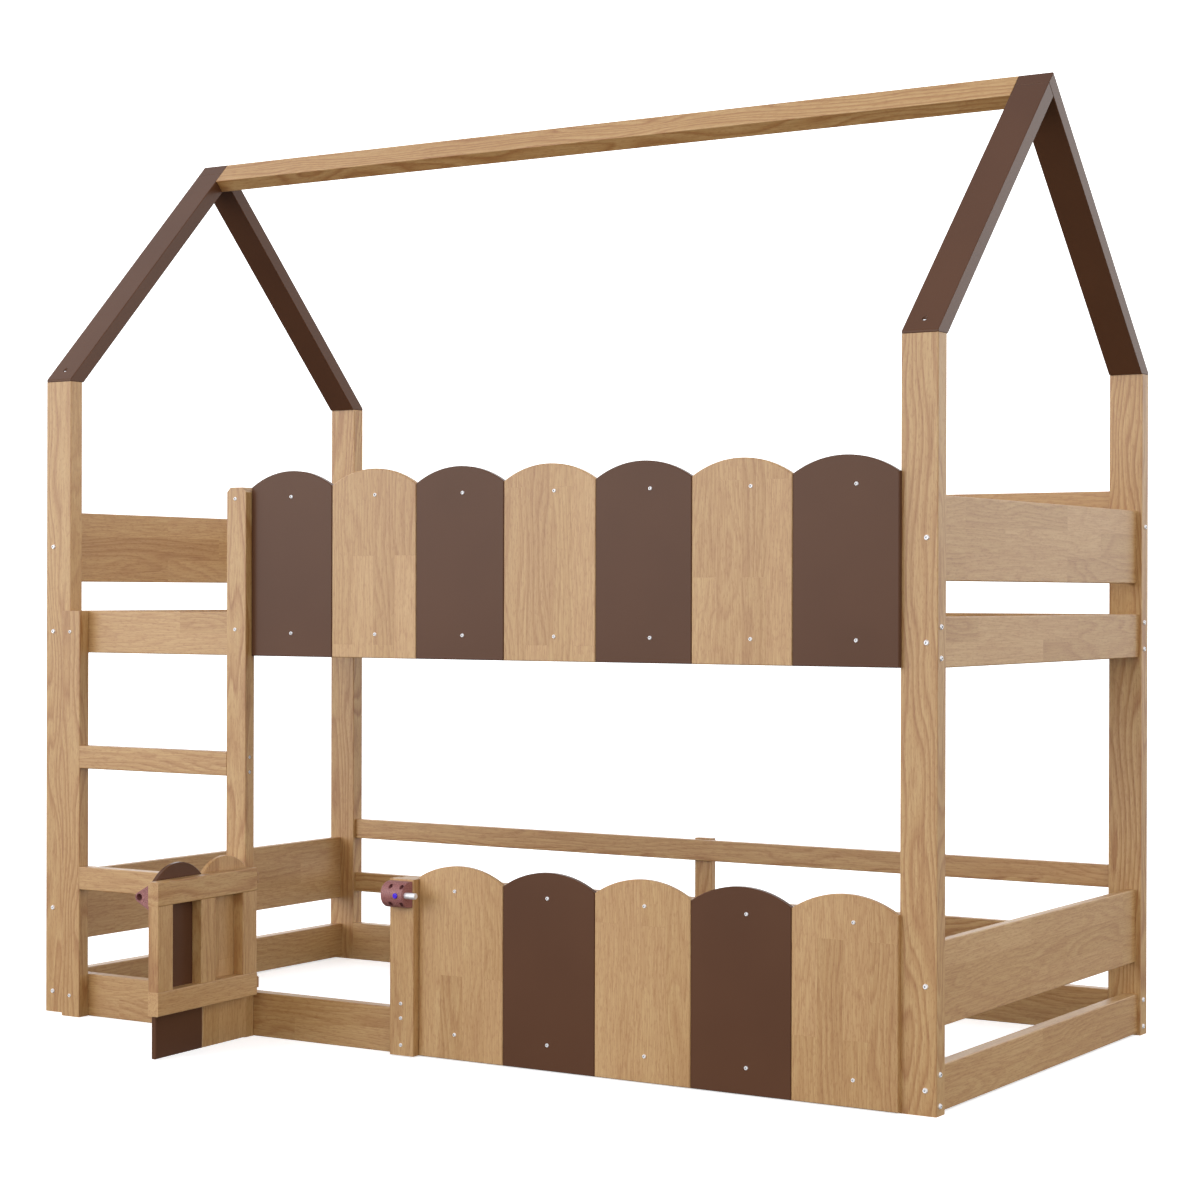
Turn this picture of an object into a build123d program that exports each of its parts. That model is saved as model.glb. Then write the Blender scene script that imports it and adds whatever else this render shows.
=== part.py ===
from build123d import *
import os
from math import atan2, cos, radians, sin, tan

# House bunk bed: two bunks between four posts, a gabled roof frame above them, a ladder, two
# fences of arched boards, and a gate with a sliding latch at the lower bunk.
# Lengths are in millimetres. X runs along the bed, Y from its front to its back and Z up.
# The origin is on the floor, under the middle of the whole bed with its gate standing open.

os.makedirs("parts", exist_ok=True)

# Overall frame
bed_length = 2080
bed_width = 1014
post_width = 70
post_depth = 35
post_height = 1342
edge_radius = 2

# Boards between the posts
rail_height = 88
rail_depth = 28
guard_height = 148
guard_depth = 18
batten_height = 46
low_end_rail_height = 80
board_inset = 7
upper_rail_level = 767
upper_guard_level = 917
upper_back_guard_level = 958
low_end_rail_level = 4
low_guard_level = 148
low_back_middle_level = 165
low_back_top_level = 295
back_post_width = 44
back_post_rise = 3

# Roof
ridge_level = 1873
rafter_toe = 5.6
rafter_depth = 32
rafter_ease = 1.2
ridge_height = 60

# Mattress base of the upper bunk
ledger_height = 30
ledger_depth = 20
ledger_lift = 8
ledger_screw_slat_count = 3
slat_width = 70
slat_depth = 12
slat_count = 13
slat_clearance = 1

# Fences of arched boards
panel_pitch = 205
panel_gap = 0.6
panel_height = 370
panel_depth = 11
arch_rise = 31
panel_chamfer = 1.5
upper_panel_count = 7
low_panel_count = 5
low_panel_trim = 8.5
fence_lap = 2.5
floor_gap = 2
fence_rail_drop = 77

# Ladder
stile_width = 50
stile_depth = 28
stile_gap = 3
stile_panel_gap = 0.5
stile_chamfer = 10
rung_height = 48
low_rung_level = 269
rung_spacing = 255

# Gate and its post
gate_post_width = 56.5
gate_post_rise = 1.5
gate_depth = 24
gate_member = 46
gate_clearance = 1
gate_panel_level = 3
gate_top_drop = 29
gate_end_gap = 12
gate_open_angle = 86

# Hinges of the gate
hinge_offset = 19.3
hinge_setback = 12.4
hinge_reach = 14.2
hinge_plate = 3
hinge_plate_height = 40
hinge_plate_width = 20
hinge_eye_radius = 5
stile_eye_height = 6
gate_eye_height = 8
eye_gap = 0.3
pin_radius = 2
pin_head_radius = 3.2
pin_head_height = 2

# Latch
latch_drop = 28.5
housing_length = 51
housing_edge_gap = 2.5
housing_height = 50
housing_reach = 35
housing_floor = 4
latch_reach = 22
latch_rod_radius = 6
latch_tail = 24.6
latch_button_radius = 5.2
latch_button_proud = 2.2
latch_button_length = 6.2
latch_button_setback = 15
receiver_length = 22
receiver_margin = 1
receiver_height = 47
receiver_nose_radius = 9.5
receiver_hole_radius = 6.8

# Bolts, threaded inserts and screws
bolt_radius = 3
bolt_bite = 24
bolt_head_radius = 5
bolt_head_height = 2.5
bolt_hole_radius = 3.4
bolt_pair_spread = 54
socket_radius = 2
socket_depth = 1.4
head_taper = 25
insert_radius = 5
insert_length = 20
screw_radius = 2.2
screw_head_radius = 3.8
screw_head_height = 1.8
screw_bite = 20
screw_fit = 0.05
running_fit = 0.08
tenon_radius = 4
tenon_length = 18
tenon_fit = 0.05
rafter_screw_bite = 60
rafter_screw_setback = 21
rafter_pocket_radius = 5
rafter_pocket_depth = 4.5
rung_screw_spread = 30
stile_screw_inset = 22.5
stile_screw_lift = 9
gate_post_screw_inset = 27
gate_post_screw_shares = (0.25, 0.84, 1.16)
upper_screw_creep = 3.8
low_screw_creep = 7
low_screw_lead = 8.7
upper_screw_lift = 2.5
low_screw_lift = 6
apex_screw_spread = 24
hinge_screw_spread = 32
hinge_screw_shift = 5
hinge_screw_bite = 16
screw_sink = 2
sink_radius = 4
housing_screw_spread = 33
housing_screw_inset = 5
housing_screw_pitch = 26
receiver_screw_spread = 36
counterbore_radius = 4.3

# Faces and centre lines along the bed
half_length = bed_length / 2
post_inner_x = half_length - post_width
post_mid_x = half_length - post_width / 2
end_line = half_length - board_inset - rail_depth / 2
fence_left = post_inner_x - upper_panel_count * panel_pitch
right_stile_x = (fence_left - stile_panel_gap - stile_width, fence_left - stile_panel_gap)
left_stile_x = (-post_inner_x + stile_gap, -post_inner_x + stile_gap + stile_width)
gate_post_right = post_inner_x - low_panel_count * panel_pitch + low_panel_trim
gate_post_x = (gate_post_right - gate_post_width, gate_post_right)

# The gate, measured from its hinge axis: along is away from the axis, across is towards the bed
# when the gate is closed
hinge_x = right_stile_x[1] + hinge_offset
gate_end = gate_post_x[0] - gate_end_gap - hinge_x
gate_along = (hinge_reach, gate_end)
gate_across = (-hinge_setback, gate_depth - hinge_setback)
receiver_along = (gate_end - receiver_margin - receiver_length, gate_end - receiver_margin)
panel_end = receiver_along[0] - receiver_margin
receiver_nose = latch_reach + receiver_nose_radius
open_angle = radians(gate_open_angle)

# The open gate reaches furthest forward, and the screws of the back centre post furthest back
hinge_forward = bed_width / 2 + stile_depth - hinge_setback
gate_forward = receiver_along[1] * sin(open_angle) + (hinge_setback + receiver_nose) * cos(open_angle)
reach_forward = hinge_forward + gate_forward
reach_back = bed_width / 2 - board_inset + guard_depth + screw_head_height

# Faces and centre lines across the bed
bed_y = (reach_forward - reach_back) / 2
front_y = bed_y - bed_width / 2
back_y = bed_y + bed_width / 2
front_post_y = (front_y, front_y + post_depth)
back_post_y = (back_y - post_depth, back_y)
front_rail_y = (front_y, front_y + rail_depth)
back_rail_y = (back_y - board_inset - rail_depth, back_y - board_inset)
back_guard_y = (back_rail_y[1] - guard_depth, back_rail_y[1])
centre_post_y = (back_guard_y[1], back_guard_y[1] + guard_depth)
stile_y = (front_y - stile_depth, front_y)
panel_y = (front_y - panel_depth, front_y)
hinge_y = stile_y[0] + hinge_setback
front_line = sum(front_rail_y) / 2
back_line = sum(back_rail_y) / 2
back_guard_line = sum(back_guard_y) / 2

# Heights
upper_rail_z = (upper_rail_level, upper_rail_level + rail_height)
low_rail_z = (0, rail_height)
low_end_rail_z = (low_end_rail_level, low_end_rail_level + low_end_rail_height)
upper_guard_z = (upper_guard_level, upper_guard_level + guard_height)
low_guard_z = (low_guard_level, low_guard_level + guard_height)
upper_back_guard_z = (upper_back_guard_level, upper_back_guard_level + guard_height)
upper_fence_level = upper_rail_level + panel_height - fence_rail_drop
upper_fence_z = (upper_fence_level, upper_fence_level + batten_height)
low_fence_level = floor_gap + panel_height - fence_rail_drop
low_fence_z = (low_fence_level, low_fence_level + batten_height)
low_back_middle_z = (low_back_middle_level, low_back_middle_level + batten_height)
low_back_top_z = (low_back_top_level, low_back_top_level + batten_height)
upper_rail_mid = sum(upper_rail_z) / 2
low_rail_mid = sum(low_rail_z) / 2
upper_fence_mid = sum(upper_fence_z) / 2
low_fence_mid = sum(low_fence_z) / 2
gate_bottom_rail_z = (rail_height + gate_clearance, rail_height + gate_clearance + gate_member)
gate_top = gate_panel_level + panel_height - gate_top_drop
gate_top_rail_z = (gate_top - gate_member, gate_top)
gate_post_top = low_fence_z[1] + gate_post_rise
latch_z = gate_post_top - latch_drop

# Directions
outward_left = Vector(-1, 0, 0)
outward_right = Vector(1, 0, 0)
outward_front = Vector(0, -1, 0)
outward_back = Vector(0, 1, 0)
upward = Vector(0, 0, 1)


def footprint(x_span, y_span, level, base=Plane.XY):
    """Rectangle between two faces each way, lying at a level above a base plane."""
    with BuildSketch(base.offset(level)) as outline:
        with Locations((sum(x_span) / 2, sum(y_span) / 2)):
            Rectangle(x_span[1] - x_span[0], y_span[1] - y_span[0])
    return outline.sketch


def board(x_span, y_span, z_span, base=Plane.XY):
    """Add a straight board to the part being built."""
    extrude(footprint(x_span, y_span, z_span[0], base), amount=z_span[1] - z_span[0])


def circles_at(seats, outward, radius):
    """Circles of one radius on the plane that the seats share."""
    plane = Plane(origin=seats[0], z_dir=outward)
    with BuildSketch(plane) as circles:
        with Locations(*[plane.to_local_coords(seat) for seat in seats]):
            Circle(radius)
    return circles.sketch


def sockets_at(seats, outward):
    """Hexagons for the sockets of fasteners, on the plane that the seats share."""
    plane = Plane(origin=seats[0], z_dir=outward)
    with BuildSketch(plane) as hexagons:
        with Locations(*[plane.to_local_coords(seat) for seat in seats]):
            RegularPolygon(socket_radius, 6)
    return hexagons.sketch


def drill(seats, outward, radius, depth):
    """Drill holes into the part being built, in from the face that looks outward."""
    extrude(circles_at(seats, outward, radius), amount=-depth, mode=Mode.SUBTRACT)


def peg(seats, outward, radius, length):
    """Add round pegs that stand out of the part being built."""
    extrude(circles_at(seats, outward, radius), amount=length)


def fasten(seats, outward, radius, length, head_radius, head_height):
    """Add fasteners: a shank into the wood and a tapered head with a hexagonal socket."""
    tops = [seat + outward * head_height for seat in seats]
    extrude(circles_at(seats, outward, radius), amount=-length)
    extrude(circles_at(seats, outward, head_radius), amount=head_height, taper=head_taper)
    extrude(sockets_at(tops, outward), amount=-socket_depth, mode=Mode.SUBTRACT)


def bolt(seats, outward, length):
    """Add the frame's bolts."""
    fasten(seats, outward, bolt_radius, length, bolt_head_radius, bolt_head_height)


def screw(seats, outward, length):
    """Add wood screws."""
    fasten(seats, outward, screw_radius, length, screw_head_radius, screw_head_height)


def save(piece, name):
    """Name a finished piece and write it to its own file."""
    piece.part.label = name
    export_step(piece.part, f"parts/{name}.step")


def pair_heights(middle):
    """Heights of the two bolts in the end of a long rail."""
    return (middle - bolt_pair_spread / 2, middle + bolt_pair_spread / 2)


# Bolts through the posts. Side bolts run along X into the long boards, end bolts along Y into
# the boards of the two bed ends.
front_side_places = [(front_line, z) for mid in (upper_rail_mid, low_rail_mid) for z in pair_heights(mid)]
back_side_places = [(back_line, z) for mid in (upper_rail_mid, low_rail_mid) for z in pair_heights(mid)]
back_side_places.append((back_guard_line, sum(upper_back_guard_z) / 2))
end_bolt_heights = [sum(span) / 2 for span in (upper_guard_z, upper_rail_z, low_guard_z, low_end_rail_z)]
side_bolt_length = post_width + bolt_bite
end_bolt_length = post_depth + bolt_bite

# Round tenons on the ends of the slender back boards and of the fence rails
fence_tenons = [upper_fence_mid, low_fence_mid]
back_tenons = [sum(low_back_middle_z) / 2, sum(low_back_top_z) / 2]


def side_seats(side, places):
    """Seats of side bolts on the outer face of the posts at one end of the bed."""
    return [Vector(side * half_length, y, z) for y, z in places]


# Posts: planed square to size, with eased long edges
post_corners = {
    "front_left_post": (-1, front_post_y, front_y, outward_front, front_side_places),
    "front_right_post": (1, front_post_y, front_y, outward_front, front_side_places),
    "back_left_post": (-1, back_post_y, back_y, outward_back, back_side_places),
    "back_right_post": (1, back_post_y, back_y, outward_back, back_side_places),
}
for name, (side, y_span, face_y, outward, side_places) in post_corners.items():
    x_span = sorted((side * post_inner_x, side * half_length))
    side_outward = outward_right * side
    inner_seats = [Vector(side * post_inner_x, back_guard_line, z) for z in back_tenons]
    if outward == outward_front:
        inner_seats = [Vector(side * post_inner_x, front_line, z) for z in fence_tenons]
    rafter_screw_y = face_y - outward.Y * rafter_screw_setback
    with BuildPart() as post:
        board(x_span, y_span, (0, post_height))
        fillet(post.edges().filter_by(Axis.Z), edge_radius)
        drill(side_seats(side, side_places), side_outward, bolt_hole_radius, post_width)
        end_seats = [Vector(side * end_line, face_y, z) for z in end_bolt_heights]
        drill(end_seats, outward, bolt_hole_radius, post_depth)
        if side > 0 or outward == outward_back:
            drill(inner_seats, -side_outward, tenon_radius + tenon_fit, tenon_length)
        top_seat = Vector(side * post_mid_x, rafter_screw_y, post_height)
        drill([top_seat], upward, screw_radius + screw_fit, rafter_screw_bite)
    save(post, name)


def drill_ends(ends, outward):
    """Drill a board's end for its bolts and for the threaded inserts that they turn into."""
    drill(ends, outward, insert_radius, insert_length)
    drill(ends, outward, bolt_hole_radius, bolt_bite)


def drill_long_board(line, heights):
    """Drill both ends of a board that runs along the bed."""
    for side in (-1, 1):
        drill_ends([Vector(side * post_inner_x, line, z) for z in heights], outward_right * side)


def drill_end_board(side, height):
    """Drill both ends of a board at one end of the bed."""
    for end_y, outward in ((front_post_y[1], outward_front), (back_post_y[0], outward_back)):
        drill_ends([Vector(end_line * side, end_y, height)], outward)


# Places of the screws that hold the arched boards, one above the other
upper_panel_middles = [fence_left + (i + 0.5) * panel_pitch for i in range(upper_panel_count)]
upper_screw_x = [x + i * upper_screw_creep for i, x in enumerate(upper_panel_middles)]
low_fence_left = post_inner_x - low_panel_count * panel_pitch
low_panel_middles = [low_fence_left + (i + 0.5) * panel_pitch for i in range(low_panel_count)]
low_screw_x = [x - low_screw_lead + i * low_screw_creep for i, x in enumerate(low_panel_middles)]
upper_screw_z = (upper_rail_mid + upper_screw_lift, upper_fence_mid + upper_screw_lift)
low_screw_z = (low_rail_mid + low_screw_lift, low_fence_mid + low_screw_lift)

# Places of the screws that hold the two stiles, the gate post and the ledgers to the rails
left_screw_x = left_stile_x[0] + stile_screw_inset
right_screw_x = right_stile_x[0] + stile_screw_inset
gate_post_screw_x = gate_post_x[0] + gate_post_screw_inset
gate_post_screw_z = [rail_height * share for share in gate_post_screw_shares]
right_upper_z = upper_rail_mid + stile_screw_lift
ledger_z = (upper_rail_level + ledger_lift, upper_rail_level + ledger_lift + ledger_height)
slat_pitch = (2 * post_inner_x - slat_width) / (slat_count - 1)
slat_x = [i * slat_pitch - post_inner_x + slat_width / 2 for i in range(slat_count)]
ledger_screw_x = [x + slat_pitch / 2 for x in slat_x[1:-1:ledger_screw_slat_count]]

# Long rails: bolted between the posts, and drilled for what is screwed to their faces
with BuildPart() as upper_front_rail:
    board((-post_inner_x, post_inner_x), front_rail_y, upper_rail_z)
    fillet(upper_front_rail.edges().filter_by(Axis.X), edge_radius)
    drill_long_board(front_line, pair_heights(upper_rail_mid))
    face_seats = [Vector(x, front_y, upper_screw_z[0]) for x in upper_screw_x]
    face_seats.append(Vector(left_screw_x, front_y, upper_rail_mid))
    face_seats.append(Vector(right_screw_x, front_y, right_upper_z))
    drill(face_seats, outward_front, screw_radius + screw_fit, screw_bite)
    ledger_seats = [Vector(x, front_rail_y[1], sum(ledger_z) / 2) for x in ledger_screw_x]
    drill(ledger_seats, outward_back, screw_radius + screw_fit, screw_bite)
save(upper_front_rail, "upper_front_rail")

with BuildPart() as upper_back_rail:
    board((-post_inner_x, post_inner_x), back_rail_y, upper_rail_z)
    fillet(upper_back_rail.edges().filter_by(Axis.X), edge_radius)
    drill_long_board(back_line, pair_heights(upper_rail_mid))
    ledger_seats = [Vector(x, back_rail_y[0], sum(ledger_z) / 2) for x in ledger_screw_x]
    drill(ledger_seats, outward_front, screw_radius + screw_fit, screw_bite)
save(upper_back_rail, "upper_back_rail")

with BuildPart() as lower_front_rail:
    board((-post_inner_x, post_inner_x), front_rail_y, low_rail_z)
    fillet(lower_front_rail.edges().filter_by(Axis.X), edge_radius)
    drill_long_board(front_line, pair_heights(low_rail_mid))
    face_seats = [Vector(x, front_y, low_screw_z[0]) for x in low_screw_x]
    face_seats += [Vector(x, front_y, low_rail_mid) for x in (left_screw_x, right_screw_x)]
    face_seats += [Vector(gate_post_screw_x, front_y, z) for z in gate_post_screw_z if z < rail_height]
    drill(face_seats, outward_front, screw_radius + screw_fit, screw_bite)
save(lower_front_rail, "lower_front_rail")

# The centre post's screws go into the back rail and the two slender boards above it
centre_screw_z = (low_rail_mid, sum(low_back_middle_z) / 2, sum(low_back_top_z) / 2)
centre_screw_bite = guard_depth - edge_radius
with BuildPart() as lower_back_rail:
    board((-post_inner_x, post_inner_x), back_rail_y, low_rail_z)
    fillet(lower_back_rail.edges().filter_by(Axis.X), edge_radius)
    drill_long_board(back_line, pair_heights(low_rail_mid))
    centre_seat = Vector(0, back_rail_y[1], centre_screw_z[0])
    drill([centre_seat], outward_back, screw_radius + screw_fit, centre_screw_bite)
save(lower_back_rail, "lower_back_rail")

# End boards: between the posts at each end, rails below and higher guards above
end_boards = {
    "upper_{}_end_rail": (rail_depth, upper_rail_z),
    "lower_{}_end_rail": (rail_depth, low_end_rail_z),
    "upper_{}_guard": (guard_depth, upper_guard_z),
    "lower_{}_guard": (guard_depth, low_guard_z),
}
for pattern, (thickness, z_span) in end_boards.items():
    for side, word in ((-1, "left"), (1, "right")):
        x_span = sorted((side * (end_line - thickness / 2), side * (end_line + thickness / 2)))
        with BuildPart() as end_board:
            board(x_span, (front_post_y[1], back_post_y[0]), z_span)
            fillet(end_board.edges().filter_by(Axis.Y), edge_radius)
            drill_end_board(side, sum(z_span) / 2)
        save(end_board, pattern.format(word))

# Back guard of the upper bunk
with BuildPart() as upper_back_guard:
    board((-post_inner_x, post_inner_x), back_guard_y, upper_back_guard_z)
    fillet(upper_back_guard.edges().filter_by(Axis.X), edge_radius)
    drill_long_board(back_guard_line, [sum(upper_back_guard_z) / 2])
save(upper_back_guard, "upper_back_guard")

# Two slender guard rails behind the lower bunk, with a round tenon on each end
with BuildPart() as lower_back_guard_rails:
    for z_span in (low_back_middle_z, low_back_top_z):
        board((-post_inner_x, post_inner_x), back_guard_y, z_span)
    fillet(lower_back_guard_rails.edges().filter_by(Axis.X), edge_radius)
    for side in (-1, 1):
        tenon_seats = [Vector(side * post_inner_x, back_guard_line, z) for z in back_tenons]
        peg(tenon_seats, outward_right * side, tenon_radius, tenon_length)
    centre_seats = [Vector(0, back_guard_y[1], z) for z in centre_screw_z[1:]]
    drill(centre_seats, outward_back, screw_radius + screw_fit, centre_screw_bite)
save(lower_back_guard_rails, "lower_back_guard_rails")

# Short post behind the middle of the lower bunk, screwed to the rails that it joins
centre_post_z = (floor_gap, low_back_top_z[1] + back_post_rise)
with BuildPart() as back_centre_post:
    board((-back_post_width / 2, back_post_width / 2), centre_post_y, centre_post_z)
    fillet(back_centre_post.edges().filter_by(Axis.Z), edge_radius)
    centre_heads = [Vector(0, centre_post_y[1], z) for z in centre_screw_z]
    drill(centre_heads, outward_back, screw_radius + screw_fit, guard_depth)
save(back_centre_post, "back_centre_post")

# Fence rails: behind the tops of the arched boards, tenoned into the right post
fence_rails = {
    "upper_fence_rail": (right_stile_x[0], upper_fence_z, upper_screw_x, upper_screw_z[1], right_screw_x),
    "lower_fence_rail": (gate_post_x[0], low_fence_z, low_screw_x, low_screw_z[1], None),
}
for name, (left, z_span, screw_x, screw_z, stile_screw_x) in fence_rails.items():
    middle = sum(z_span) / 2
    with BuildPart() as fence_rail:
        board((left, post_inner_x), front_rail_y, z_span)
        fillet(fence_rail.edges().filter_by(Axis.X), edge_radius)
        peg([Vector(post_inner_x, front_line, middle)], outward_right, tenon_radius, tenon_length)
        face_seats = [Vector(x, front_y, screw_z) for x in screw_x]
        if stile_screw_x is not None:
            face_seats.append(Vector(stile_screw_x, front_y, middle))
        drill(face_seats, outward_front, screw_radius + screw_fit, screw_bite)
    save(fence_rail, name)


def arched_outline(plane, span, bottom, crown):
    """Outline of an upright board with a low arched top."""
    valley = crown - arch_rise
    with BuildSketch(plane) as outline:
        with BuildLine():
            Polyline((span[0], valley), (span[0], bottom), (span[1], bottom), (span[1], valley))
            ThreePointArc((span[1], valley), (sum(span) / 2, crown), (span[0], valley))
        make_face()
    return outline.sketch


# Arched boards of the two fences, alternately painted and plain, with eased front edges. The last
# board of each fence laps over the eased edge of the right post.
fence_front = Plane.XZ.offset(-front_y)
panel_screw_length = panel_depth + screw_bite
fences = {
    "upper_fence_panel": (upper_panel_middles, upper_rail_level, upper_screw_x, upper_screw_z),
    "lower_fence_panel": (low_panel_middles, floor_gap, low_screw_x, low_screw_z),
}
for fence, (middles, bottom, screw_x, screw_z) in fences.items():
    for number, (middle, x) in enumerate(zip(middles, screw_x), start=1):
        half_panel = (panel_pitch - panel_gap) / 2
        lap = fence_lap if number == len(middles) else 0
        span = (middle - half_panel, middle + half_panel + lap)
        with BuildPart() as panel:
            extrude(arched_outline(fence_front, span, bottom, bottom + panel_height), amount=panel_depth)
            if span[0] < gate_post_right < span[1] and bottom == floor_gap:
                split(bisect_by=Plane.YZ.offset(gate_post_right + panel_gap), keep=Keep.TOP)
            chamfer(panel.faces().sort_by(Axis.Y)[0].edges(), panel_chamfer)
            heads = [Vector(x, panel_y[0], z) for z in screw_z]
            drill(heads, outward_front, screw_radius + screw_fit, panel_depth)
        save(panel, f"{fence}_{number}")

# Rafters: a gabled pair on each pair of posts. Their outer faces start a little above the posts'
# outer edges. The back rafter runs through at the ridge and the front one butts against it.
slope = atan2(ridge_level - post_height - rafter_toe, bed_width / 2)
rafter_drop = rafter_depth / cos(slope)
foot_inner = (rafter_drop - rafter_toe) / tan(slope)
down_front = Vector(0, -cos(slope), -sin(slope))
down_back = Vector(0, cos(slope), -sin(slope))
front_slope_out = Vector(0, -sin(slope), cos(slope))
back_slope_out = Vector(0, sin(slope), cos(slope))
ridge = Vector(0, bed_y, ridge_level)
crossing = rafter_depth / sin(2 * slope)
front_joint = ridge + down_front * crossing
inner_peak = Vector(0, bed_y, ridge_level - rafter_drop)
front_outline = [
    Vector(0, front_y, post_height),
    Vector(0, front_y, post_height + rafter_toe),
    front_joint,
    inner_peak,
    Vector(0, front_y + foot_inner, post_height),
]
back_outline = [
    Vector(0, back_y, post_height),
    Vector(0, back_y, post_height + rafter_toe),
    ridge,
    front_joint,
    Vector(0, back_y - foot_inner, post_height),
]
apex_middle = ridge + down_back * (rafter_depth / 2)
rafters = {
    "front_left_rafter": (-1, front_outline, front_y + rafter_screw_setback, False),
    "front_right_rafter": (1, front_outline, front_y + rafter_screw_setback, False),
    "back_left_rafter": (-1, back_outline, back_y - rafter_screw_setback, True),
    "back_right_rafter": (1, back_outline, back_y - rafter_screw_setback, True),
}
rafter_seat_z = post_height + rafter_toe + rafter_screw_setback * tan(slope) - rafter_pocket_depth
ridge_tenon_drop = {False: ridge_height - rafter_depth / 2, True: rafter_depth / 2}
ridge_tenon_depth = front_slope_out * (-rafter_depth / 2)


def apex_seats(side):
    """Seats of the two screws through a back rafter into the front rafter's end."""
    places = (post_mid_x - apex_screw_spread / 2, post_mid_x + apex_screw_spread / 2)
    return [Vector(side * x, apex_middle.Y, apex_middle.Z) for x in places]


def ridge_tenon(side, through):
    """Foot of the ridge beam's tenon in the side of a back rafter, or of a front one."""
    centre = ridge + down_front * ridge_tenon_drop[through] + ridge_tenon_depth
    return Vector(side * post_inner_x, centre.Y, centre.Z)


for name, (side, outline, screw_y, runs_through) in rafters.items():
    start_x = min(side * post_inner_x, side * half_length)
    with BuildPart() as rafter:
        with BuildSketch(Plane.YZ.offset(start_x)):
            with BuildLine():
                Polyline(*[(point.Y, point.Z) for point in outline], close=True)
            make_face()
        extrude(amount=post_width)
        chamfer(rafter.edges(), rafter_ease)
        foot_seat = Vector(side * post_mid_x, screw_y, rafter_seat_z)
        drill([foot_seat], upward, screw_radius + screw_fit, rafter_seat_z - post_height)
        pocket = circles_at([foot_seat], upward, rafter_pocket_radius)
        extrude(pocket, amount=2 * rafter_pocket_depth, mode=Mode.SUBTRACT)
        tenon_seat = ridge_tenon(side, runs_through)
        drill([tenon_seat], -outward_right * side, tenon_radius + tenon_fit, tenon_length)
        apex_bite = rafter_depth if runs_through else rafter_depth + screw_bite
        drill(apex_seats(side), back_slope_out, screw_radius + screw_fit, apex_bite)
    save(rafter, name)

# Ridge beam: a board in the plane of the front slope, between the two gables
ridge_corners = [
    ridge,
    ridge + down_front * ridge_height,
    ridge + down_front * ridge_height - front_slope_out * rafter_depth,
    ridge - front_slope_out * rafter_depth,
]
with BuildPart() as ridge_beam:
    with BuildSketch(Plane.YZ.offset(-post_inner_x)):
        with BuildLine():
            Polyline(*[(point.Y, point.Z) for point in ridge_corners], close=True)
        make_face()
    extrude(amount=2 * post_inner_x)
    fillet(ridge_beam.edges().filter_by(Axis.X), edge_radius)
    for side in (-1, 1):
        tenon_seats = [ridge_tenon(side, False), ridge_tenon(side, True)]
        peg(tenon_seats, outward_right * side, tenon_radius, tenon_length)
save(ridge_beam, "ridge_beam")

# Slatted base of the upper bunk: two ledgers screwed inside the long rails, with slats across
ledger_front_y = (front_rail_y[1], front_rail_y[1] + ledger_depth)
ledger_back_y = (back_rail_y[0] - ledger_depth, back_rail_y[0])
slat_z = (ledger_z[1], ledger_z[1] + slat_depth)
slat_y = (ledger_front_y[0] + slat_clearance, ledger_back_y[1] - slat_clearance)
slat_places = [(x, sum(y_span) / 2) for x in slat_x for y_span in (ledger_front_y, ledger_back_y)]
slat_seats = [Vector(x, y, slat_z[1] - screw_sink) for x, y in slat_places]
ledger_tops = [Vector(x, y, ledger_z[1]) for x, y in slat_places]
slat_grip = slat_depth - screw_sink
ledger_heads_front = [Vector(x, ledger_front_y[1], sum(ledger_z) / 2) for x in ledger_screw_x]
ledger_heads_back = [Vector(x, ledger_back_y[0], sum(ledger_z) / 2) for x in ledger_screw_x]


def drill_sunk(seats, outward, depth):
    """Drill a board for screws whose heads lie sunk in its face. The seats are under the heads."""
    drill(seats, outward, screw_radius + screw_fit, depth)
    extrude(circles_at(seats, outward, sink_radius), amount=screw_sink, mode=Mode.SUBTRACT)


with BuildPart() as slat_ledgers:
    for y_span in (ledger_front_y, ledger_back_y):
        board((-post_inner_x, post_inner_x), y_span, ledger_z)
    drill(ledger_heads_front, outward_back, screw_radius + screw_fit, ledger_depth)
    drill(ledger_heads_back, outward_front, screw_radius + screw_fit, ledger_depth)
    drill(ledger_tops, upward, screw_radius + screw_fit, screw_bite)
save(slat_ledgers, "slat_ledgers")

with BuildPart() as slats:
    for x in slat_x:
        board((x - slat_width / 2, x + slat_width / 2), slat_y, slat_z)
    drill_sunk(slat_seats, upward, slat_grip)
save(slats, "slats")

# Ladder: two stiles on the fronts of the rails, with rungs flush between them
stile_line = sum(stile_y) / 2
rung_levels = (low_rung_level, low_rung_level + rung_spacing)
rung_screw_z = [
    level + rung_height / 2 + offset
    for level in rung_levels
    for offset in (-rung_screw_spread / 2, rung_screw_spread / 2)
]
left_stile_seats = [Vector(left_screw_x, stile_y[0], z) for z in (low_rail_mid, upper_rail_mid)]
right_screw_z = (low_rail_mid, right_upper_z, upper_fence_mid)
right_stile_seats = [Vector(right_screw_x, stile_y[0], z) for z in right_screw_z]
left_rung_seats = [Vector(left_stile_x[0] + screw_sink, stile_line, z) for z in rung_screw_z]
right_rung_seats = [Vector(right_stile_x[1] - screw_sink, stile_line, z) for z in rung_screw_z]
rung_grip = stile_width - screw_sink

with BuildPart() as ladder_left_stile:
    board(left_stile_x, stile_y, (0, upper_rail_z[1]))
    fillet(ladder_left_stile.edges().filter_by(Axis.Z), edge_radius)
    drill(left_stile_seats, outward_front, screw_radius + screw_fit, stile_depth)
    drill_sunk(left_rung_seats, outward_left, rung_grip)
save(ladder_left_stile, "ladder_left_stile")

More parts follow.
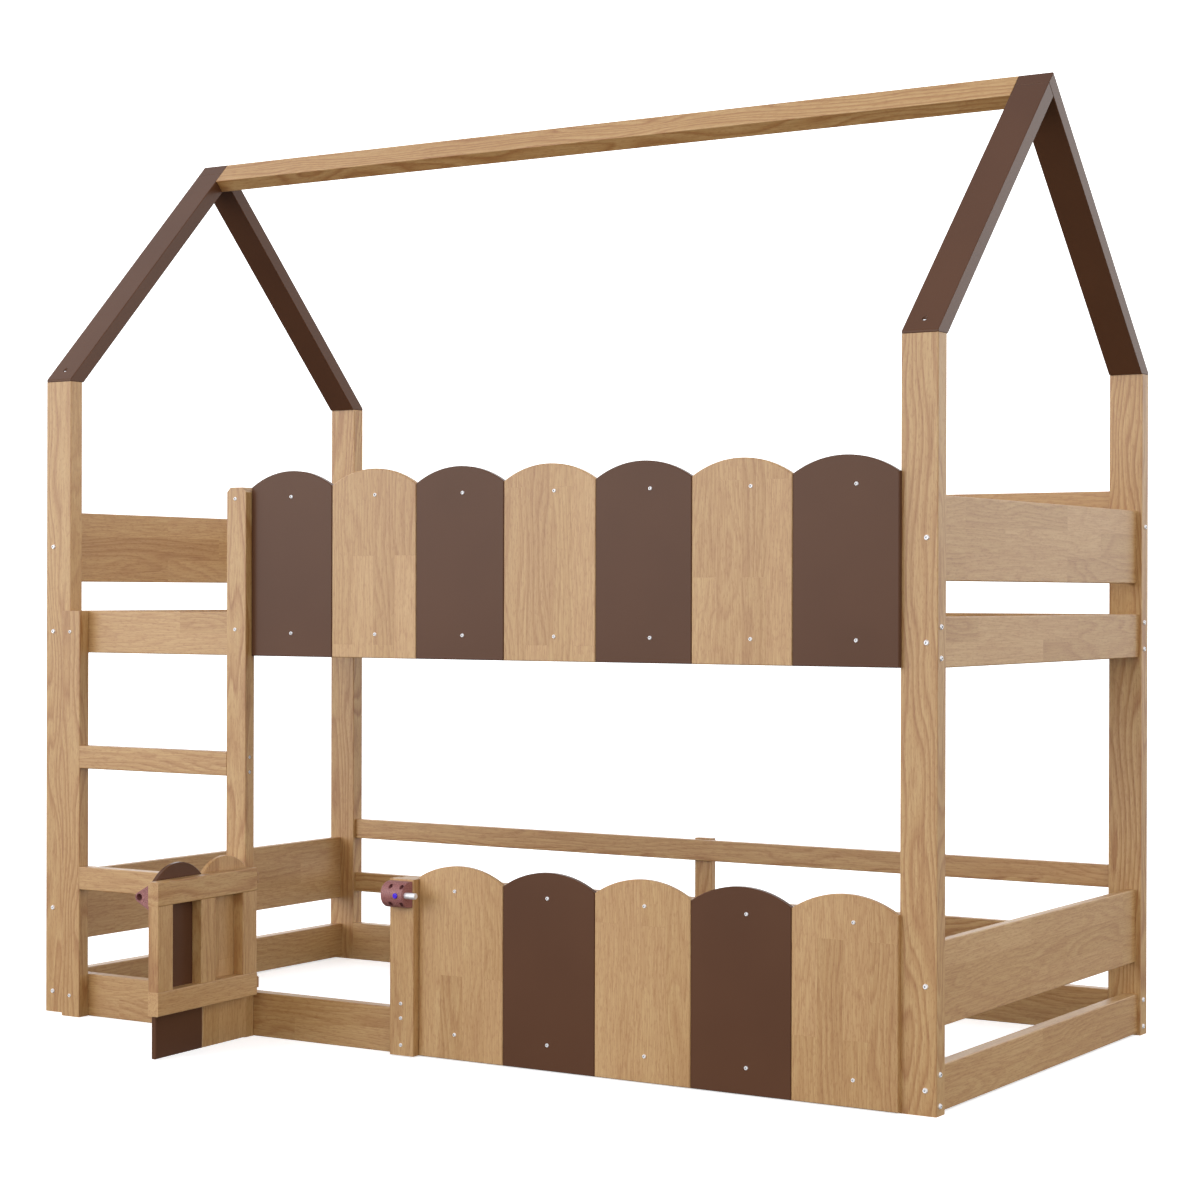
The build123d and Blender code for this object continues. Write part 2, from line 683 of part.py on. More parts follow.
hinge_z = (sum(gate_bottom_rail_z) / 2, sum(gate_top_rail_z) / 2)
hinge_screw_z = [z + offset for z in hinge_z for offset in (-hinge_screw_spread / 2, hinge_screw_spread / 2)]
hinge_plate_x = (right_stile_x[1], right_stile_x[1] + hinge_plate)
stile_hinge_seats = [Vector(hinge_plate_x[1], hinge_y - hinge_screw_shift, z) for z in hinge_screw_z]
with BuildPart() as ladder_right_stile:
    board(right_stile_x, stile_y, (0, upper_fence_z[1]))
    top_edges = ladder_right_stile.edges().filter_by(Axis.Y).group_by(Axis.Z)[-1]
    chamfer(top_edges, stile_chamfer)
    fillet(ladder_right_stile.edges().filter_by(Axis.Z), edge_radius)
    drill(right_stile_seats, outward_front, screw_radius + screw_fit, stile_depth)
    drill_sunk(right_rung_seats, outward_right, rung_grip)
    hinge_holes = [seat - outward_right * hinge_plate for seat in stile_hinge_seats]
    drill(hinge_holes, outward_right, screw_radius + screw_fit, hinge_screw_bite)
save(ladder_right_stile, "ladder_right_stile")

with BuildPart() as ladder_rungs:
    for level in rung_levels:
        board((left_stile_x[1], right_stile_x[0]), stile_y, (level, level + rung_height))
    fillet(ladder_rungs.edges().filter_by(Axis.X), edge_radius)
    for end_x, outward in ((left_stile_x[1], outward_left), (right_stile_x[0], outward_right)):
        rung_ends = [Vector(end_x, stile_line, z) for z in rung_screw_z]
        drill(rung_ends, outward, screw_radius + screw_fit, screw_bite)
save(ladder_rungs, "ladder_rungs")

# Gate post: carries the latch and the left end of the lower fence
housing_x = (gate_post_x[1] - housing_edge_gap - housing_length, gate_post_x[1] - housing_edge_gap)
housing_screw_right = housing_x[1] - housing_screw_inset
housing_screw_x = (housing_screw_right - housing_screw_pitch, housing_screw_right)
housing_seats = [
    Vector(x, stile_y[0] - housing_floor, latch_z + offset)
    for x in housing_screw_x
    for offset in (-housing_screw_spread / 2, housing_screw_spread / 2)
]
gate_post_seats = [Vector(gate_post_screw_x, stile_y[0], z) for z in gate_post_screw_z]
with BuildPart() as gate_post:
    board(gate_post_x, stile_y, (floor_gap, gate_post_top))
    fillet(gate_post.edges().filter_by(Axis.Z), edge_radius)
    drill(gate_post_seats, outward_front, screw_radius + screw_fit, stile_depth)
    post_holes = [seat + outward_back * housing_floor for seat in housing_seats]
    drill(post_holes, outward_front, screw_radius + screw_fit, screw_bite)
save(gate_post, "gate_post")

# Latch housing: a moulded half barrel on the post, bored for the rod, with a pocket for the
# button and deep holes over its screws
barrel_radius = housing_height / 2
rod_y = stile_y[0] - latch_reach
barrel_y = stile_y[0] - housing_reach + barrel_radius
button_x = housing_x[1] - latch_button_setback
button_y = stile_y[0] - housing_reach - latch_button_proud
housing_plane = Plane(origin=(housing_x[0], 0, latch_z), x_dir=(0, 1, 0), z_dir=(1, 0, 0))
with BuildPart() as latch_housing:
    with BuildSketch(housing_plane):
        with BuildLine():
            Polyline(
                (barrel_y, barrel_radius),
                (stile_y[0], barrel_radius),
                (stile_y[0], -barrel_radius),
                (barrel_y, -barrel_radius),
            )
            ThreePointArc(
                (barrel_y, -barrel_radius), (barrel_y - barrel_radius, 0), (barrel_y, barrel_radius)
            )
        make_face()
    extrude(amount=housing_length)
    end_edges = latch_housing.edges().filter_by(GeomType.CIRCLE)
    fillet(end_edges, edge_radius)
    rod_seat = Vector(housing_x[1], rod_y, latch_z)
    drill([rod_seat], outward_right, latch_rod_radius + running_fit, housing_length)
    button_seat = Vector(button_x, stile_y[0] - housing_reach, latch_z)
    drill([button_seat], outward_front, latch_button_radius + running_fit, housing_reach - latch_reach)
    drill(housing_seats, outward_front, screw_radius + screw_fit, housing_floor)
    wells = circles_at(housing_seats, outward_front, counterbore_radius)
    extrude(wells, amount=housing_reach, mode=Mode.SUBTRACT)
save(latch_housing, "latch_housing")

# Latch rod: slides left through the housing into the receiver of the closed gate
rod_x = (housing_x[0], housing_x[1] + latch_tail)
with BuildPart() as latch_bolt:
    rod_end = Vector(rod_x[0], rod_y, latch_z)
    peg([rod_end], outward_right, latch_rod_radius, rod_x[1] - rod_x[0])
    chamfer(latch_bolt.edges().filter_by(GeomType.CIRCLE), pin_head_height / 2)
save(latch_bolt, "latch_bolt")

# Latch button: round, and pressed in to free the rod
with BuildPart() as latch_button:
    button_face = Vector(button_x, button_y, latch_z)
    extrude(circles_at([button_face], outward_front, latch_button_radius), amount=-latch_button_length)
    fillet(latch_button.edges().filter_by(GeomType.CIRCLE).sort_by(Axis.Y)[0], edge_radius / 2)
save(latch_button, "latch_button")

# The gate stands open about its hinge axis. All its pieces are drawn on this plane.
gate_plan = Plane(
    origin=(hinge_x, hinge_y, 0), x_dir=(cos(open_angle), -sin(open_angle), 0), z_dir=(0, 0, 1)
)
gate_along_out = gate_plan.x_dir
gate_inward = gate_plan.y_dir


def on_gate(along, across, z):
    """Point of the gate, from its distance along and across the gate and its height."""
    return gate_plan.from_local_coords(Vector(along, across, z))


# Gate frame: two full-length rails with three uprights tenoned between them
upright_spacing = (gate_along[1] - gate_along[0] - gate_member) / 2
upright_starts = [gate_along[0] + i * upright_spacing for i in range(3)]
upright_middles = [start + gate_member / 2 for start in upright_starts]
gate_mid_across = sum(gate_across) / 2
gate_panel_pitch = (panel_end - gate_along[0]) / 2
gate_panel_middles = [gate_along[0] + (i + 0.5) * gate_panel_pitch for i in range(2)]
gate_panel_seats = [
    on_gate(middle, gate_across[0] - panel_depth, sum(span) / 2)
    for middle in gate_panel_middles
    for span in (gate_bottom_rail_z, gate_top_rail_z)
]
gate_hinge_seats = [on_gate(gate_along[0] - hinge_plate, 0, z) for z in hinge_screw_z]
receiver_mid = sum(receiver_along) / 2
receiver_seats = [
    on_gate(receiver_mid, gate_across[0] - housing_floor, latch_z + offset)
    for offset in (-receiver_screw_spread / 2, receiver_screw_spread / 2)
]
panel_holes = [seat + gate_inward * panel_depth for seat in gate_panel_seats]
receiver_holes = [seat + gate_inward * housing_floor for seat in receiver_seats]
gate_hinge_holes = [seat + gate_along_out * hinge_plate for seat in gate_hinge_seats]


def within(points, z_span):
    """Points whose screws, with their own width, reach into a height range."""
    return [p for p in points if z_span[0] - screw_radius < p.Z < z_span[1] + screw_radius]


gate_rails = {"gate_bottom_rail": (gate_bottom_rail_z, 1), "gate_top_rail": (gate_top_rail_z, 0)}
for name, (z_span, tenon_end) in gate_rails.items():
    tenon_outward = upward if tenon_end else -upward
    with BuildPart() as gate_rail:
        board(gate_along, gate_across, z_span, gate_plan)
        fillet(gate_rail.edges().filter_by(Axis(gate_plan.origin, gate_along_out)), edge_radius)
        tenon_seats = [on_gate(middle, gate_mid_across, z_span[tenon_end]) for middle in upright_middles]
        drill(tenon_seats, tenon_outward, tenon_radius + tenon_fit, tenon_length)
        drill(within(panel_holes, z_span), -gate_inward, screw_radius + screw_fit, screw_bite)
        drill(within(gate_hinge_holes, z_span), -gate_along_out, screw_radius + screw_fit, hinge_screw_bite)
        if within(receiver_holes, z_span):
            drill(within(receiver_holes, z_span), -gate_inward, screw_radius + screw_fit, screw_bite)
    save(gate_rail, name)

upright_z = (gate_bottom_rail_z[1], gate_top_rail_z[0])
with BuildPart() as gate_uprights:
    for start in upright_starts:
        board((start, start + gate_member), gate_across, upright_z, gate_plan)
    fillet(gate_uprights.edges().filter_by(Axis.Z), edge_radius)
    for level, outward in zip(upright_z, (-upward, upward)):
        tenon_seats = [on_gate(middle, gate_mid_across, level) for middle in upright_middles]
        peg(tenon_seats, outward, tenon_radius, tenon_length)
    if within(receiver_holes, upright_z):
        drill(within(receiver_holes, upright_z), -gate_inward, screw_radius + screw_fit, screw_bite)
save(gate_uprights, "gate_uprights")

# Arched boards on the outer side of the gate, a plain one by the hinges and a painted one
gate_front = Plane(
    origin=on_gate(0, gate_across[0], 0), x_dir=gate_along_out, z_dir=-gate_inward
)
for name, middle in zip(("gate_light_panel", "gate_dark_panel"), gate_panel_middles):
    half_panel = (gate_panel_pitch - panel_gap) / 2
    span = (middle - half_panel, middle + half_panel)
    seats = [on_gate(middle, gate_across[0] - panel_depth, seat.Z) for seat in gate_panel_seats[:2]]
    with BuildPart() as gate_panel:
        outline = arched_outline(gate_front, span, gate_panel_level, gate_panel_level + panel_height)
        extrude(outline, amount=panel_depth)
        broad_faces = gate_panel.faces().sort_by(SortBy.AREA)[-2:]
        chamfer(broad_faces.edges(), panel_chamfer)
        drill(seats, -gate_inward, screw_radius + screw_fit, panel_depth)
    save(gate_panel, name)

# Latch receiver: a moulded ear on the free end of the gate, with a hole for the rod
receiver_plane = Plane(
    origin=on_gate(receiver_along[0], gate_across[0], latch_z), x_dir=-gate_inward, z_dir=gate_along_out
)
half_ear = receiver_height / 2
ear_flank = (half_ear**2 + latch_reach**2 - receiver_nose_radius**2) ** 0.5
ear_turn = atan2(receiver_nose_radius, ear_flank) - atan2(half_ear, latch_reach)
nose_start = (ear_flank * cos(ear_turn), half_ear + ear_flank * sin(ear_turn))
nose_end = (nose_start[0], -nose_start[1])
with BuildPart() as latch_receiver:
    with BuildSketch(receiver_plane):
        with BuildLine():
            Polyline(nose_start, (0, half_ear), (0, -half_ear), nose_end)
            ThreePointArc(nose_end, (receiver_nose, 0), nose_start)
        make_face()
    extrude(amount=receiver_length)
    hole_seat = on_gate(receiver_along[1], gate_across[0] - latch_reach, latch_z)
    drill([hole_seat], gate_along_out, receiver_hole_radius, receiver_length)
    drill(receiver_seats, -gate_inward, screw_radius + screw_fit, housing_floor)
    wells = circles_at(receiver_seats, -gate_inward, counterbore_radius)
    extrude(wells, amount=latch_reach, mode=Mode.SUBTRACT)
save(latch_receiver, "latch_receiver")

# Hinges: plates with eyes about the axis, two eyes on the stile and one on the gate between them
eye_stack = stile_eye_height * 2 + gate_eye_height + eye_gap * 2
stile_eye_spans = [
    (z + offset, z + offset + stile_eye_height)
    for z in hinge_z
    for offset in (-eye_stack / 2, eye_stack / 2 - stile_eye_height)
]
gate_eye_spans = [(z - gate_eye_height / 2, z + gate_eye_height / 2) for z in hinge_z]
hinge_plate_spans = [(z - hinge_plate_height / 2, z + hinge_plate_height / 2) for z in hinge_z]
half_plate = hinge_plate_width / 2


def add_eyes(z_spans, reach, base):
    """Add flat eyes about the hinge axis, each with a straight arm to its plate."""
    for z_span in z_spans:
        with BuildSketch(base.offset(z_span[0])) as eye:
            Circle(hinge_eye_radius)
            with Locations((reach / 2, 0)):
                Rectangle(abs(reach), 2 * hinge_eye_radius)
        extrude(eye.sketch, amount=z_span[1] - z_span[0])


hinge_axis_seat = Vector(hinge_x, hinge_y, gate_top)
stile_plan = Plane(origin=(hinge_x, hinge_y, 0), x_dir=(1, 0, 0), z_dir=(0, 0, 1))
with BuildPart() as stile_hinge_leaves:
    for z_span in hinge_plate_spans:
        board(hinge_plate_x, (hinge_y - half_plate, hinge_y + half_plate), z_span)
    add_eyes(stile_eye_spans, hinge_plate - hinge_offset, stile_plan)
    drill([hinge_axis_seat], upward, pin_radius + screw_fit, gate_top)
    drill(stile_hinge_seats, outward_right, screw_radius + screw_fit, hinge_plate)
save(stile_hinge_leaves, "stile_hinge_leaves")

with BuildPart() as gate_hinge_leaves:
    for z_span in hinge_plate_spans:
        board((hinge_reach - hinge_plate, hinge_reach), (-half_plate, half_plate), z_span, gate_plan)
    add_eyes(gate_eye_spans, hinge_reach - hinge_plate, gate_plan)
    drill([hinge_axis_seat], upward, pin_radius + running_fit, gate_top)
    drill(gate_hinge_seats, -gate_along_out, screw_radius + screw_fit, hinge_plate)
save(gate_hinge_leaves, "gate_hinge_leaves")

with BuildPart() as hinge_pins:
    for z in hinge_z:
        pin_top = Vector(hinge_x, hinge_y, z + eye_stack / 2)
        peg([pin_top], upward, pin_head_radius, pin_head_height)
        extrude(circles_at([pin_top], upward, pin_radius), amount=-eye_stack)
save(hinge_pins, "hinge_pins")

# Frame bolts, and the threaded inserts that they turn into in the ends of the boards
bolt_places = front_side_places + back_side_places
with BuildPart() as frame_bolts:
    for side in (-1, 1):
        side_outward = outward_right * side
        bolt(side_seats(side, bolt_places), side_outward, side_bolt_length)
    for face_y, outward in ((front_y, outward_front), (back_y, outward_back)):
        end_seats = [Vector(side * end_line, face_y, z) for side in (-1, 1) for z in end_bolt_heights]
        bolt(end_seats, outward, end_bolt_length)
save(frame_bolts, "frame_bolts")


def add_inserts(ends, outward):
    """Add threaded inserts, flush with the ends of boards and bored for their bolts."""
    peg(ends, outward, insert_radius - screw_fit, -insert_length)
    drill(ends, outward, bolt_radius + screw_fit, insert_length)


with BuildPart() as threaded_inserts:
    for side in (-1, 1):
        add_inserts([Vector(side * post_inner_x, y, z) for y, z in bolt_places], outward_right * side)
    for end_y, outward in ((front_post_y[1], outward_front), (back_post_y[0], outward_back)):
        ends = [Vector(side * end_line, end_y, z) for side in (-1, 1) for z in end_bolt_heights]
        add_inserts(ends, outward)
save(threaded_inserts, "threaded_inserts")

# Wood screws of everything that doesn't swing with the gate
with BuildPart() as fixing_screws:
    panel_heads = [Vector(x, panel_y[0], z) for x in upper_screw_x for z in upper_screw_z]
    panel_heads += [Vector(x, panel_y[0], z) for x in low_screw_x for z in low_screw_z]
    screw(panel_heads, outward_front, panel_screw_length)
    rail_heads = left_stile_seats + right_stile_seats
    rail_heads += [seat for seat in gate_post_seats if seat.Z < rail_height]
    screw(rail_heads, outward_front, stile_depth + screw_bite)
    short_heads = [seat for seat in gate_post_seats if seat.Z > rail_height]
    screw(short_heads, outward_front, stile_depth - edge_radius)
    screw(housing_seats, outward_front, housing_floor + screw_bite)
    screw(left_rung_seats, outward_left, rung_grip + screw_bite)
    screw(right_rung_seats, outward_right, rung_grip + screw_bite)
    screw(stile_hinge_seats, outward_right, hinge_plate + hinge_screw_bite)
    screw(centre_heads, outward_back, guard_depth + centre_screw_bite)
    screw(ledger_heads_front, outward_back, ledger_depth + screw_bite)
    screw(ledger_heads_back, outward_front, ledger_depth + screw_bite)
    screw(slat_seats, upward, slat_grip + screw_bite)
    rafter_screw_y = (front_y + rafter_screw_setback, back_y - rafter_screw_setback)
    for side in (-1, 1):
        feet = [Vector(side * post_mid_x, y, rafter_seat_z) for y in rafter_screw_y]
        screw(feet, upward, rafter_seat_z - post_height + rafter_screw_bite)
        screw(apex_seats(side), back_slope_out, rafter_depth + screw_bite)
save(fixing_screws, "fixing_screws")

# Wood screws that swing with the gate
with BuildPart() as gate_screws:
    screw(gate_panel_seats, -gate_inward, panel_screw_length)
    screw(gate_hinge_seats, -gate_along_out, hinge_plate + hinge_screw_bite)
    screw(receiver_seats, -gate_inward, housing_floor + screw_bite)
save(gate_screws, "gate_screws")
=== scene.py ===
"""House bunk bed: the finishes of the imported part, and the studio in which it is photographed.

X runs along the bed, Y from its front to its back and Z up. Everything is in metres.
"""

from math import cos, radians, sin

import bmesh
import bpy
from mathutils import Matrix, Vector


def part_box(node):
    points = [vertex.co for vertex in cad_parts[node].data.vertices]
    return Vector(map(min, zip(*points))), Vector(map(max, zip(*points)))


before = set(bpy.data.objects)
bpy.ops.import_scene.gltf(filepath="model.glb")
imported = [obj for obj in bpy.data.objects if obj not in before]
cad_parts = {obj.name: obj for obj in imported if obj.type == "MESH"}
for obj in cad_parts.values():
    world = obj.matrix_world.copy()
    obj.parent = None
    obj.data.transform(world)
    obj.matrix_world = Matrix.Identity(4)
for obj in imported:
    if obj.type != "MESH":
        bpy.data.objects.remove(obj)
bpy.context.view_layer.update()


# Posts
# Four square-planed posts of solid oak, 70 x 35 mm with eased long edges, under a clear satin
# lacquer. Their grain stands upright, and the boards of the bed are bolted between them.

upright = Vector((0, 0, 1))
lengthwise = Vector((1, 0, 0))
backward = Vector((0, 1, 0))


def linear(colour):
    """The linear colour, with full opacity, of an sRGB hex value."""
    shares = [int(colour[start : start + 2], 16) / 255 for start in (1, 3, 5)]
    return [c / 12.92 if c < 0.04045 else ((c + 0.055) / 1.055) ** 2.4 for c in shares] + [1]


def add_node(tree, kind, inputs, stops=(), **settings):
    """Add a shader node with its settings and links. Each input takes a value or the output of
    another node. A colour ramp's stops are pairs of a place and a hex colour."""
    node = tree.nodes.new("ShaderNode" + kind)
    for name, value in settings.items():
        setattr(node, name, value)
    for name, value in inputs.items():
        if isinstance(value, bpy.types.NodeSocket):
            tree.links.new(value, node.inputs[name])
        else:
            node.inputs[name].default_value = value
    for number, (place, colour) in enumerate(stops):
        if number == len(node.color_ramp.elements):
            node.color_ramp.elements.new(1)
        node.color_ramp.elements[number].position = place
        node.color_ramp.elements[number].color = linear(colour)
    return node


def new_finish(name):
    """A material with an empty node tree, its Principled shader and its object coordinates."""
    finish = bpy.data.materials.new(name)
    finish.use_nodes = True
    tree = finish.node_tree
    tree.nodes.clear()
    shader = add_node(tree, "BsdfPrincipled", {})
    add_node(tree, "OutputMaterial", {"Surface": shader.outputs["BSDF"]})
    places = add_node(tree, "TexCoord", {}).outputs["Object"]
    return finish, tree, shader, places


def dress(names, finish):
    """Give CAD pieces one finish."""
    for name in names:
        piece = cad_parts[name]
        piece.data.materials.clear()
        piece.data.materials.append(finish)


def oak(piece, grain, face, stave_width=0.07, stave_length=30.0, arch_depth=0.85):
    """Lacquered oak for one board, with its grain along one direction and its broad face turned
    to another. Staves are glued edge to edge, each with a tone and a figure of its own: some show
    long wavy arches, 15 mm apart, where the saw cut the growth rings at a low angle, and some
    only fine straight fibres. Rays show as short darker flecks. The fibres and flecks of real oak
    are 0.3 mm wide, and are drawn 1 to 2 mm wide here to show at all. A solid board is a single
    stave, which is why a stave is longer than any board unless a length is given."""
    # Each board is sawn from another place of the timber, and each stave has another figure.
    sawing_step = 0.17
    tone_step = 1.37
    figure_spread = (9.0, 0.7, 0.5)
    glue_line = 0.0003
    joint_stagger = 0.37
    # Counts across a metre of timber, and how far each pattern is drawn out along the grain.
    rings_per_metre = 65.0
    rings_of_swell = 9.0
    swells_per_metre = 17.0
    clouds_per_metre = 11.0
    log_stretch = (0.17, 1, 1)
    log_lean = (0, radians(2), radians(1))
    fibres_per_metre = 560.0
    fibre_stretch = (0.035, 1, 1)
    fibre_raggedness = 0.03
    rays_per_metre = 330.0
    ray_stretch = (0.25, 1, 1)
    ray_slant = (0, 0, radians(14))
    finish, tree, shader, places = new_finish("lacquered_oak_" + piece)
    turn = Matrix((grain, face.cross(grain), face))
    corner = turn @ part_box(piece)[0]
    board_number = len(bpy.data.materials)
    sawing_place = Vector((sawing_step * board_number, 0, 0))
    along_board = add_node(
        tree,
        "Mapping",
        {"Vector": places, "Location": sawing_place - corner, "Rotation": turn.to_euler()},
    ).outputs["Vector"]
    staves = add_node(
        tree,
        "TexBrick",
        {
            "Vector": along_board,
            "Color1": linear("#000000"),
            "Color2": linear("#FFFFFF"),
            "Mortar": linear("#808080"),
            "Scale": 1.0,
            "Mortar Size": glue_line,
            "Mortar Smooth": 0.0,
            "Brick Width": stave_length,
            "Row Height": stave_width,
        },
        offset=joint_stagger,
        offset_frequency=2,
    ).outputs["Color"]
    stave_number = add_node(
        tree, "Math", {0: staves, 1: tone_step * board_number}, operation="ADD"
    ).outputs["Value"]
    stave_draw = add_node(tree, "TexWhiteNoise", {"W": stave_number}, noise_dimensions="1D")
    in_stave = add_node(
        tree,
        "VectorMath",
        {0: stave_draw.outputs["Color"], 1: figure_spread, 2: along_board},
        operation="MULTIPLY_ADD",
    ).outputs["Vector"]
    log = add_node(
        tree, "Mapping", {"Vector": in_stave, "Rotation": log_lean, "Scale": log_stretch}
    ).outputs["Vector"]
    fibre_places = add_node(
        tree, "Mapping", {"Vector": in_stave, "Scale": fibre_stretch}
    ).outputs["Vector"]
    fibres = add_node(
        tree,
        "TexNoise",
        {"Vector": fibre_places, "Scale": fibres_per_metre, "Detail": 3.0, "Roughness": 0.6},
    ).outputs["Fac"]
    swell = add_node(
        tree,
        "TexNoise",
        {
            "Vector": log,
            "Scale": swells_per_metre,
            "Detail": 1.0,
            "Roughness": 0.35,
            "Distortion": 0.15,
        },
    ).outputs["Fac"]
    ragged = add_node(
        tree, "Math", {0: fibres, 1: fibre_raggedness, 2: swell}, operation="MULTIPLY_ADD"
    ).outputs["Value"]
    across = add_node(tree, "SeparateXYZ", {"Vector": log}).outputs["Y"]
    straight = add_node(
        tree, "Math", {0: across, 1: rings_per_metre}, operation="MULTIPLY"
    ).outputs["Value"]
    ring_count = add_node(
        tree, "Math", {0: ragged, 1: rings_of_swell, 2: straight}, operation="MULTIPLY_ADD"
    ).outputs["Value"]
    rings = add_node(tree, "Math", {0: ring_count}, operation="FRACT").outputs["Value"]
    ray_places = add_node(
        tree, "Mapping", {"Vector": in_stave, "Rotation": ray_slant, "Scale": ray_stretch}
    ).outputs["Vector"]
    rays = add_node(
        tree,
        "TexNoise",
        {"Vector": ray_places, "Scale": rays_per_metre, "Detail": 2.0, "Roughness": 0.5},
    ).outputs["Fac"]
    clouds = add_node(
        tree,
        "TexNoise",
        {"Vector": log, "Scale": clouds_per_metre, "Detail": 2.0, "Roughness": 0.5},
    ).outputs["Fac"]
    ring_tone = add_node(
        tree,
        "ValToRGB",
        {"Fac": rings},
        stops=[(0.0, "#CDAA75"), (0.45, "#C49C65"), (0.78, "#A7733C"), (0.96, "#C8A26C")],
    ).outputs["Color"]
    stave_tone = add_node(
        tree,
        "ValToRGB",
        {"Fac": stave_draw.outputs["Value"]},
        stops=[(0.0, "#B68D58"), (0.5, "#C09963"), (1.0, "#CAA471")],
    ).outputs["Color"]
    arch_share = add_node(
        tree, "MapRange", {"Value": stave_draw.outputs["Value"], "To Min": arch_depth, "To Max": 0.2}
    ).outputs["Result"]
    colour = add_node(
        tree, "MixRGB", {"Fac": arch_share, "Color1": stave_tone, "Color2": ring_tone}
    ).outputs["Color"]
    fibre_tone = add_node(
        tree, "ValToRGB", {"Fac": fibres}, stops=[(0.36, "#DCC2A0"), (0.6, "#FFFFFF")]
    ).outputs["Color"]
    ray_tone = add_node(
        tree, "ValToRGB", {"Fac": rays}, stops=[(0.38, "#D2AC80"), (0.46, "#FFFFFF")]
    ).outputs["Color"]
    cloud_tone = add_node(
        tree, "ValToRGB", {"Fac": clouds}, stops=[(0.3, "#F1E8DE"), (0.7, "#FFFFFF")]
    ).outputs["Color"]
    for tone, share in ((fibre_tone, 0.55), (ray_tone, 0.3), (cloud_tone, 0.8)):
        colour = add_node(
            tree, "MixRGB", {"Fac": share, "Color1": colour, "Color2": tone}, blend_type="MULTIPLY"
        ).outputs["Color"]
    tree.links.new(colour, shader.inputs["Base Color"])
    relief = add_node(
        tree, "Bump", {"Strength": 0.2, "Distance": 0.0004, "Height": fibres}
    ).outputs["Normal"]
    tree.links.new(relief, shader.inputs["Normal"])
    shader.inputs["Roughness"].default_value = 0.42
    shader.inputs["IOR"].default_value = 1.5
    shader.inputs["Specular IOR Level"].default_value = 0.85
    dress([piece], finish)


for post in ("front_left_post", "front_right_post", "back_left_post", "back_right_post"):
    oak(post, upright, backward)


# Long rails and guards
# Rails of 88 x 28 mm and guards of 148 x 18 mm run the length of the bed. They are glued up from
# two or three oak staves side by side, planed and lacquered.

rail_stave = 0.044
guard_stave = 0.0494


def glued_oak(piece, grain, face, stave_width):
    """Oak for a board glued up from short, plainer staves, whose joints are staggered."""
    oak(piece, grain, face, stave_width, stave_length=0.47, arch_depth=0.42)


for rail in ("upper_front_rail", "upper_back_rail", "lower_front_rail", "lower_back_rail"):
    glued_oak(rail, lengthwise, backward, rail_stave)
glued_oak("upper_back_guard", lengthwise, backward, guard_stave)
oak("lower_back_guard_rails", lengthwise, backward)
for batten in ("upper_fence_rail", "lower_fence_rail"):
    oak(batten, lengthwise, backward)
oak("back_centre_post", upright, backward)


# End rails and guards
# The boards of the two bed ends run from front to back between the posts, and are made as the
# long ones are.

low_end_rail_stave = 0.04

for side in ("left", "right"):
    glued_oak(f"upper_{side}_end_rail", backward, lengthwise, rail_stave)
    glued_oak(f"lower_{side}_end_rail", backward, lengthwise, low_end_rail_stave)
    glued_oak(f"upper_{side}_guard", backward, lengthwise, guard_stave)
    glued_oak(f"lower_{side}_guard", backward, lengthwise, guard_stave)


# Roof
# Two gabled pairs of rafters, sprayed with brown satin lacquer, and a plain oak ridge beam in
# the plane of the front slope.

slope = radians(45.9)
up_front_slope = Vector((0, cos(slope), sin(slope)))
oak("ridge_beam", lengthwise, lengthwise.cross(up_front_slope))

brown, brown_tree, brown_shader, brown_places = new_finish("brown_satin_lacquer")
# Sprayed acrylic lacquer on a sanded board: an even colour with a soft sheen, and a faint
# orange-peel texture about 3 mm across.
brown_clouds_per_metre = 5.0
dimples_per_metre = 330.0
brown_cloud = add_node(
    brown_tree,
    "TexNoise",
    {"Vector": brown_places, "Scale": brown_clouds_per_metre, "Detail": 2.0},
).outputs["Fac"]
brown_tone = add_node(
    brown_tree, "ValToRGB", {"Fac": brown_cloud}, stops=[(0.3, "#573724"), (0.7, "#5C3B27")]
).outputs["Color"]
brown_tree.links.new(brown_tone, brown_shader.inputs["Base Color"])
orange_peel = add_node(
    brown_tree, "TexNoise", {"Vector": brown_places, "Scale": dimples_per_metre, "Detail": 1.0}
).outputs["Fac"]
brown_relief = add_node(
    brown_tree, "Bump", {"Strength": 0.12, "Distance": 0.0003, "Height": orange_peel}
).outputs["Normal"]
brown_tree.links.new(brown_relief, brown_shader.inputs["Normal"])
brown_shader.inputs["Roughness"].default_value = 0.32
brown_shader.inputs["IOR"].default_value = 1.5
brown_shader.inputs["Specular IOR Level"].default_value = 0.22

dress([f"{end}_{side}_rafter" for end in ("front", "back") for side in ("left", "right")], brown)


# Slatted base
# Two oak ledgers are screwed inside the upper rails, and thirteen flat slats of birch plywood lie
# across them with sunk screws.

oak("slat_ledgers", lengthwise, backward)

birch, birch_tree, birch_shader, birch_places = new_finish("birch_plywood")
# Peeled birch veneer is pale and nearly even, with fine streaks 1 mm wide along the slat.
streaks_per_metre = 500.0
streak_stretch = (1, 0.04, 1)
birch_grain = add_node(
    birch_tree, "Mapping", {"Vector": birch_places, "Scale": streak_stretch}
).outputs["Vector"]
birch_streaks = add_node(
    birch_tree, "TexNoise", {"Vector": birch_grain, "Scale": streaks_per_metre, "Detail": 4.0}
).outputs["Fac"]
birch_tone = add_node(
    birch_tree, "ValToRGB", {"Fac": birch_streaks}, stops=[(0.3, "#C9AA7E"), (0.7, "#D6BB92")]
).outputs["Color"]
birch_tree.links.new(birch_tone, birch_shader.inputs["Base Color"])
birch_relief = add_node(
    birch_tree, "Bump", {"Strength": 0.2, "Distance": 0.0003, "Height": birch_streaks}
).outputs["Normal"]
birch_tree.links.new(birch_relief, birch_shader.inputs["Normal"])
